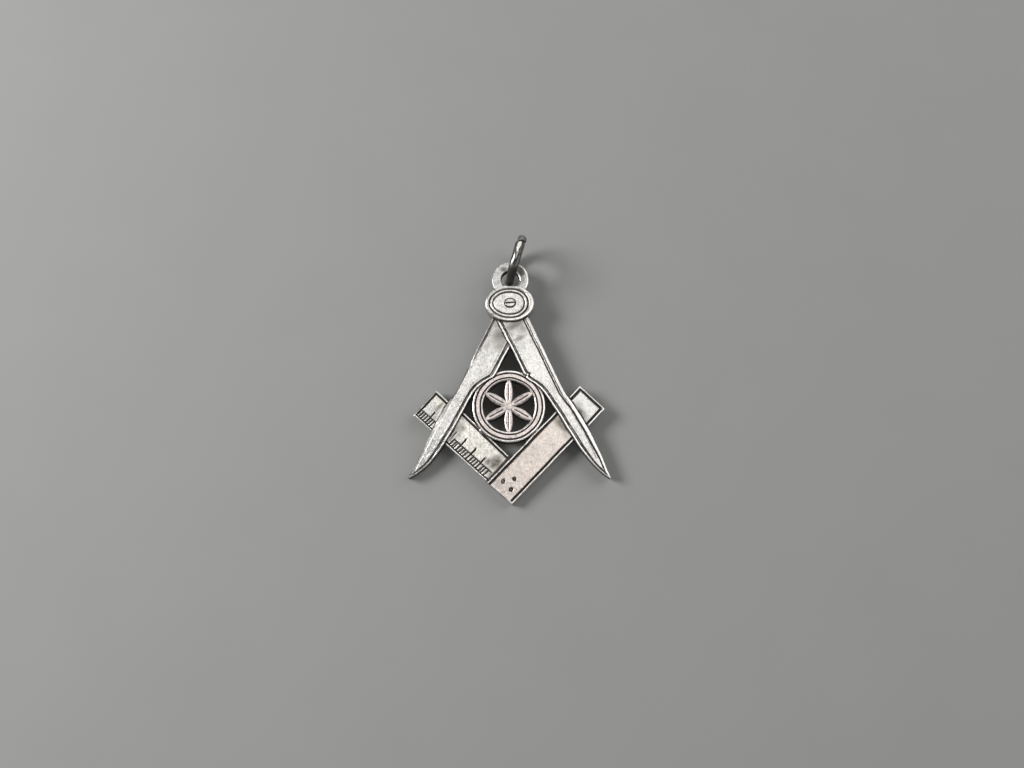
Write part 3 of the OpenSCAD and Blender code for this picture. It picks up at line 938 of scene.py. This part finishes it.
def silver():
    m, nt, bsdf = new_material("aged_silver")
    coord = node(nt, "ShaderNodeTexCoord").outputs["Object"]
    soot_and_shade_at = node(nt, "ShaderNodeAttribute", attribute_name="soot_and_shade").outputs["Fac"]
    stain_at = node(nt, "ShaderNodeAttribute", attribute_name="stain").outputs["Fac"]
    wear_and_highlight_at = node(nt, "ShaderNodeAttribute", attribute_name="wear_and_highlight").outputs["Fac"]
    tint_at = node(nt, "ShaderNodeAttribute", attribute_name="tint").outputs["Color"]
    blotch = noise_tex(nt, coord, 1.6, 4, 0.6)
    mottle = noise_tex(nt, coord, 0.42, 4, 0.62)
    speck = noise_tex(nt, coord, 0.16, 3, 0.6)
    fine = noise_tex(nt, coord, 0.06, 2, 0.6)

    marks_a = hairs(nt, coord, 84, 1.3, 0.075, 0.013)
    marks_b = hairs(nt, coord, 101, 0.9, 0.06, 0.041)

    # oxide, with the painted shade of corners and openings: in the cuts, feathered by the noise; a thin film in patches
    s = math_node(nt, "MULTIPLY", soot_and_shade_at, ramp(nt, mottle, 0.25, 0.6, 0.82, 1.12))
    s = math_node(nt, "MULTIPLY", s, ramp(nt, blotch, 0.42, 0.66, 1.04, 0.84))
    cut_oxide_and_shade = ramp(nt, s, 0.28, 0.78)
    st = math_node(nt, "MULTIPLY", stain_at, ramp(nt, mottle, 0.3, 0.62, 0.74, 1.14))
    dark_patch = math_node(nt, "ADD", math_node(nt, "MULTIPLY", st, 0.95), ramp(nt, blotch, 0.5, 0.78, 0.0, 0.22), clamp=True)
    pits = ramp(nt, speck, 0.57, 0.73, 0.0, 0.46)
    oxide_and_shade = math_node(nt, "MAXIMUM", cut_oxide_and_shade, 0.0)

    bright = ramp(nt, math_node(nt, "MULTIPLY", wear_and_highlight_at, ramp(nt, mottle, 0.2, 0.5, 0.6, 1.1)), 0.15, 0.75)
    keep = math_node(nt, "SUBTRACT", 1.0, bright)
    dark_patch = math_node(nt, "MULTIPLY", dark_patch, keep)
    pits = math_node(nt, "MULTIPLY", pits, math_node(nt, "SUBTRACT", 1.0, math_node(nt, "MULTIPLY", bright, 0.7)))
    shade = math_node(nt, "MAXIMUM", ramp(nt, mottle, 0.34, 0.66, 0.55, 1.0), bright)
    clean = mix_col(nt, 1.0, (0.87, 0.87, 0.87), tint_at, "MULTIPLY")
    clean = mix_col(nt, math_node(nt, "MULTIPLY", bright, 0.8), clean, (0.98, 0.97, 0.945))
    shade = math_node(nt, "MULTIPLY", shade, ramp(nt, speck, 0.36, 0.62, 1.10, 0.82))
    shade = math_node(nt, "MULTIPLY", shade, ramp(nt, fine, 0.36, 0.62, 1.06, 0.88))
    shade = math_node(nt, "MULTIPLY", shade, ramp(nt, marks_a, 0.44, 0.66, 1.05, 0.87))
    shade = math_node(nt, "MULTIPLY", shade, ramp(nt, marks_b, 0.46, 0.68, 1.03, 0.89))
    clean = mix_col(nt, shade, (0.30, 0.285, 0.265), clean)
    clean = mix_col(nt, dark_patch, clean, (0.17, 0.155, 0.13))
    clean = mix_col(nt, pits, clean, (0.42, 0.40, 0.37))
    col = mix_col(nt, oxide_and_shade, clean, (0.070, 0.058, 0.047))
    # the darkest oxide and the painted shade go near black
    deep = math_node(nt, "MULTIPLY", ramp(nt, soot_and_shade_at, 0.86, 1.0, 0.0, 0.7), ramp(nt, mottle, 0.36, 0.60, 1.0, 0.30))
    col = mix_col(nt, deep, col, (0.016, 0.014, 0.012))
    nt.links.new(col, bsdf.inputs["Base Color"])

    nt.links.new(ramp(nt, oxide_and_shade, 0.0, 1.0, 0.5, 0.15), bsdf.inputs["Specular IOR Level"])
    metal = ramp(nt, oxide_and_shade, 0.0, 1.0, 1.0, 0.14)
    nt.links.new(metal, bsdf.inputs["Metallic"])
    r0 = ramp(nt, mottle, 0.3, 0.7, 0.24, 0.36)
    r1 = math_node(nt, "ADD", math_node(nt, "SUBTRACT", r0, math_node(nt, "MULTIPLY", bright, 0.08)), math_node(nt, "MULTIPLY", dark_patch, 0.18))
    r2 = math_node(nt, "ADD", r1, math_node(nt, "MULTIPLY", oxide_and_shade, 0.22), clamp=True)
    nt.links.new(r2, bsdf.inputs["Roughness"])

    hgt = math_node(nt, "ADD", math_node(nt, "MULTIPLY", mottle, 0.45), math_node(nt, "MULTIPLY", speck, 0.24))
    hgt = math_node(nt, "ADD", hgt, math_node(nt, "MULTIPLY", fine, 0.2))
    hgt = math_node(nt, "SUBTRACT", hgt, math_node(nt, "MULTIPLY", pits, 0.3))
    hgt = math_node(nt, "SUBTRACT", hgt, math_node(nt, "MULTIPLY", ramp(nt, marks_a, 0.5, 0.7), 0.05))
    hgt = math_node(nt, "MULTIPLY", hgt, math_node(nt, "SUBTRACT", 1.0, math_node(nt, "MULTIPLY", bright, 0.55)))
    bump = node(nt, "ShaderNodeBump", inputs={"Strength": 0.7, "Distance": 0.05 * MM})
    nt.links.new(hgt, bump.inputs["Height"])
    nt.links.new(bump.outputs[0], bsdf.inputs["Normal"])
    return m


def tarnished():
    m, nt, bsdf = new_material("tarnished_silver")
    coord = node(nt, "ShaderNodeTexCoord").outputs["Object"]
    blotch = noise_tex(nt, coord, 1.1, 4, 0.6, distort=0.4)
    speck = noise_tex(nt, coord, 0.14, 3, 0.6)
    fine = noise_tex(nt, coord, 0.05, 2, 0.6)
    dull = node(nt, "ShaderNodeAttribute", attribute_name="dull").outputs["Fac"]
    deep = node(nt, "ShaderNodeAttribute", attribute_name="deep").outputs["Fac"]
    col = mix_col(nt, ramp(nt, blotch, 0.42, 0.62), (0.40, 0.392, 0.37), (0.24, 0.232, 0.217))
    col = mix_col(nt, ramp(nt, speck, 0.60, 0.74, 0.0, 0.5), col, (0.06, 0.056, 0.052))
    # painted shade: the wire's colour is darker where it is seen aslant
    flank_shade = ramp(nt, node(nt, "ShaderNodeLayerWeight", inputs={"Blend": 0.5}).outputs["Facing"], 0.16, 0.52, 0.0, 0.72)
    col = mix_col(nt, flank_shade, col, (0.050, 0.046, 0.042))
    # painted shade: near black where the wire lies in the eye's hole, and at its cut ends
    col = mix_col(nt, math_node(nt, "MULTIPLY", deep, 0.94), col, (0.020, 0.014, 0.010))
    col = mix_col(nt, dull, col, (0.17, 0.166, 0.155))
    nt.links.new(col, bsdf.inputs["Base Color"])
    nt.links.new(ramp(nt, deep, 0.0, 1.0, 1.0, 0.15), bsdf.inputs["Metallic"])
    nt.links.new(math_node(nt, "ADD", ramp(nt, speck, 0.3, 0.7, 0.09, 0.20), math_node(nt, "ADD", math_node(nt, "MULTIPLY", dull, 0.5), math_node(nt, "MULTIPLY", deep, 0.3))), bsdf.inputs["Roughness"])
    hgt = math_node(nt, "ADD", math_node(nt, "MULTIPLY", speck, 0.6), math_node(nt, "MULTIPLY", fine, 0.25))
    bump = node(nt, "ShaderNodeBump", inputs={"Strength": 0.22, "Distance": 0.025 * MM})
    nt.links.new(hgt, bump.inputs["Height"])
    nt.links.new(bump.outputs[0], bsdf.inputs["Normal"])
    return m


SILVER, DARK = silver(), tarnished()
for ob, mat, cad, slot in ((emblem, SILVER, "emblem", "aged_silver"), (ring, DARK, "jump_ring", "tarnished_silver")):
    ob.data.materials.clear()
    ob.data.materials.append(mat)
    cad_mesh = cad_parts[cad].data
    cad_mesh.materials.clear()
    cad_mesh.materials.append(mat)
    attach(ob, "root")
    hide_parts(cad)

# ---------------------------------------------------------------- floor and light
fm, nt, bsdf = new_material("pale_floor")
coord = node(nt, "ShaderNodeTexCoord").outputs["Object"]
nt.links.new(mix_col(nt, noise_tex(nt, coord, 9.0, 3, 0.5), (0.405, 0.405, 0.395), (0.425, 0.425, 0.415)), bsdf.inputs["Base Color"])
bsdf.inputs["Roughness"].default_value = 0.9
bsdf.inputs["Specular IOR Level"].default_value = 0.1
bm = bmesh.new()
bmesh.ops.create_grid(bm, x_segments=2, y_segments=2, size=0.5)
fl = bpy.data.meshes.new("floor")
bm.to_mesh(fl)
bm.free()
floor = bpy.data.objects.new("floor", fl)
floor.location = (0, 0, -0.000004)
bpy.context.scene.collection.objects.link(floor)
fl.materials.append(fm)


def area(name, at, aim, size, watts, gloss_only=False, up=(0, 0, 1), matt_only=False):
    """A soft box; up is the direction of its second side."""
    li = bpy.data.lights.new(name, "AREA")
    li.shape = "RECTANGLE"
    li.size, li.size_y = size
    li.energy = watts
    ob = bpy.data.objects.new(name, li)
    z = (Vector(at) - Vector(aim)).normalized()
    x = Vector(up).cross(z).normalized()
    y = z.cross(x)
    m = Matrix((x, y, z)).transposed().to_4x4()
    m.translation = at
    ob.matrix_world = m
    ob.visible_diffuse = not gloss_only
    ob.visible_glossy = not matt_only
    bpy.context.scene.collection.objects.link(ob)
    return ob


area("key", (-0.222, 0.047, 0.180), (0, 0, 0), (0.13, 0.11), 0.54)
area("fill", (0.21, 0.11, 0.20), (0, 0, 0), (0.24, 0.24), 0.28, matt_only=True)
# the next three only show as gleams in the metal: a ceiling panel, a low one and a wide leaning one behind
area("top", (0.050, 0.032, 0.29), (0, 0, 0), (0.225, 0.175), 0.190, True, up=(0, 1, 0))
area("left", (-0.29, 0.03, 0.07), (0, 0, 0.002), (0.10, 0.08), 0.12, True)
area("back", (0.0555, 0.244, 0.155), (0, 0.01, 0.004), (0.27, 0.38), 0.30, True, up=(-0.994, -0.26, 0.718))
# its bright part serves the dark wire alone: the silver's faces would burn out in it from the front
gleam = area("gleam", (0.0557, 0.2452, 0.1558), (0, 0.01, 0.004), (0.27, 0.38), 0.70, True, up=(-0.994, -0.26, 0.718))
wire_only = bpy.data.collections.new("wire_only")
wire_only.objects.link(ring)
gleam.light_linking.receiver_collection = wire_only

# a pale round backdrop, bright low down, so that the metal has something to mirror from every side
# and the floor a soft light from all round
bm = bmesh.new()
bmesh.ops.create_uvsphere(bm, u_segments=64, v_segments=40, radius=0.46)
bmesh.ops.delete(bm, geom=[q for q in bm.verts if q.co.z < -0.002], context="VERTS")
dm = bpy.data.meshes.new("backdrop")
bm.to_mesh(dm)
bm.free()
dm.polygons.foreach_set("use_smooth", np.ones(len(dm.polygons), bool))
backdrop = bpy.data.objects.new("backdrop", dm)
bpy.context.scene.collection.objects.link(backdrop)
backdrop.visible_shadow = False
bk = bpy.data.materials.new("backdrop_glow")
bk.use_nodes = True
nt = bk.node_tree
for nd in list(nt.nodes):
    nt.nodes.remove(nd)
glow = node(nt, "ShaderNodeEmission", inputs={"Color": (0.97, 0.985, 1.0, 1)})
sep = node(nt, "ShaderNodeSeparateXYZ")
nt.links.new(node(nt, "ShaderNodeTexCoord").outputs["Object"], sep.inputs[0])
nt.links.new(ramp(nt, sep.outputs[2], 0.12, 0.38, 0.46, 0.10), glow.inputs["Strength"])
nt.links.new(glow.outputs[0], node(nt, "ShaderNodeOutputMaterial").inputs[0])
bk.cycles.emission_sampling = "NONE"
dm.materials.append(bk)

world = bpy.data.worlds.new("world")
bpy.context.scene.world = world
world.use_nodes = True
bg = world.node_tree.nodes["Background"]
bg.inputs[0].default_value = (0.86, 0.88, 0.90, 1)
bg.inputs[1].default_value = 0.13

# ------------------------------------------------------------------------- camera
# 75 degrees above the surface, 84.6 mm from the emblem
D, EL = 84.59, math.radians(75)
cam = bpy.data.cameras.new("camera")
cam.sensor_width = 36.0
cam.lens = 769.0 / 1024.0 * 36.0
cam.clip_start, cam.clip_end = 0.005, 5.0
cam_ob = bpy.data.objects.new("camera", cam)
cam_ob.location = ((0 + MID[0]) * MM, (-D * math.cos(EL) + MID[1]) * MM, D * math.sin(EL) * MM)
cam_ob.rotation_euler = (math.radians(15), 0, 0)
bpy.context.scene.collection.objects.link(cam_ob)
bpy.context.scene.camera = cam_ob

bpy.context.scene.view_settings.view_transform = "Standard"
bpy.context.view_layer.update()
print("triangles", sum(len(p.vertices) - 2 for p in me.polygons), sum(len(p.vertices) - 2 for p in ring.data.polygons))
